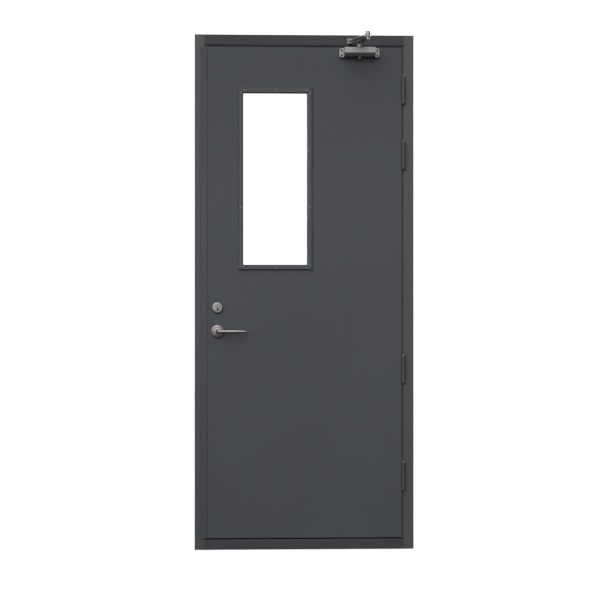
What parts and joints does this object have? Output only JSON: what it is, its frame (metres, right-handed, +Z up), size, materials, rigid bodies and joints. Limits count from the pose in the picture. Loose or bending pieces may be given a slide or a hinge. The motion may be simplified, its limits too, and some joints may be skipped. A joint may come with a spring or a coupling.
{
  "type": "steel fire door",
  "caption": "Single leaf steel fire door in a folded steel frame, with glazed vision panel, overlap strip, lever lock and arm closer.",
  "frame": {"origin": "middle of the flat underside of the sill, midway between the frame's front and rear faces", "axes": "+X to the right as seen from the side the door opens to, that side faces -Y, +Z up"},
  "size_m": [0.895, 0.356, 2.1],
  "materials": {
    "grey_paint": "satin dark grey paint",
    "silver_paint": "silver grey paint",
    "stainless": "satin",
    "glass": "clear fire resisting glass",
    "seal_rubber": "black seal",
    "mineral_core": "mineral wool board"
  },
  "bodies": {
    "frame": {"lock_jamb": "grey_paint", "hinge_jamb": "grey_paint", "frame_head": "grey_paint", "frame_sill": "grey_paint", "frame_seal": "seal_rubber", "strike_plate": "stainless", "closer_shoe": "silver_paint", "hinge_1_frame_half": "grey_paint", "hinge_2_frame_half": "grey_paint", "hinge_3_frame_half": "grey_paint", "hinge_4_frame_half": "grey_paint"},
    "leaf": {"leaf_front_skin": "grey_paint", "leaf_back_skin": "grey_paint", "leaf_core": "mineral_core", "lock_edge_strip": "grey_paint", "vision_trim_front": "grey_paint", "vision_trim_back": "grey_paint", "glass_pane": "glass", "glazing_gasket_front": "seal_rubber", "glazing_gasket_back": "seal_rubber", "handle_rose_front": "stainless", "cylinder_rose_front": "stainless", "handle_rose_back": "stainless", "cylinder_rose_back": "stainless", "lock_cylinder": "stainless", "lock_faceplate": "stainless", "latch_bolt": "stainless", "dead_bolt": "stainless", "closer_body": "silver_paint", "closer_end_cap_left": "silver_paint", "closer_end_cap_right": "silver_paint", "closer_spindle": "silver_paint", "closer_bottom_cap": "silver_paint", "hinge_1_leaf_half": "grey_paint", "hinge_1_pin": "stainless", "hinge_2_leaf_half": "grey_paint", "hinge_2_pin": "stainless", "hinge_3_leaf_half": "grey_paint", "hinge_3_pin": "stainless", "hinge_4_leaf_half": "grey_paint", "hinge_4_pin": "stainless"},
    "handle": {"lever_front": "stainless", "lever_back": "stainless", "lever_spindle": "stainless"},
    "main_arm": {"closer_main_arm": "silver_paint"},
    "forearm": {"closer_forearm": "silver_paint"}
  },
  "joints": [
    {"name": "door_swing", "type": "hinge", "parent": "frame", "child": "leaf", "pos_m": [0.405, -0.064, 1.05], "axis": [0, 0, 1], "range_deg": [0, 120], "stiffness_Nm_per_rad": 10, "springref_deg": -17.19},
    {"name": "handle_turn", "type": "hinge", "parent": "leaf", "child": "handle", "pos_m": [-0.354, -0.032, 0.89], "axis": [0, 1, 0], "range_deg": [0, 45], "stiffness_Nm_per_rad": 1.5, "springref_deg": -28.65},
    {"name": "closer_arm_turn", "type": "hinge", "parent": "leaf", "child": "main_arm", "pos_m": [0.2245, -0.084, 2.0665], "axis": [0, 0, 1], "range_deg": [-205, 5]},
    {"name": "closer_forearm_turn", "type": "hinge", "parent": "frame", "child": "forearm", "pos_m": [0.188, -0.077, 2.0735], "axis": [0, 0, 1], "range_deg": [-5, 25]}
  ],
  "couplings": [
    {"joint": "closer_arm_turn", "follows": "door_swing", "ratio": -1.676},
    {"joint": "closer_forearm_turn", "follows": "door_swing", "ratio": 0.1691}
  ]
}
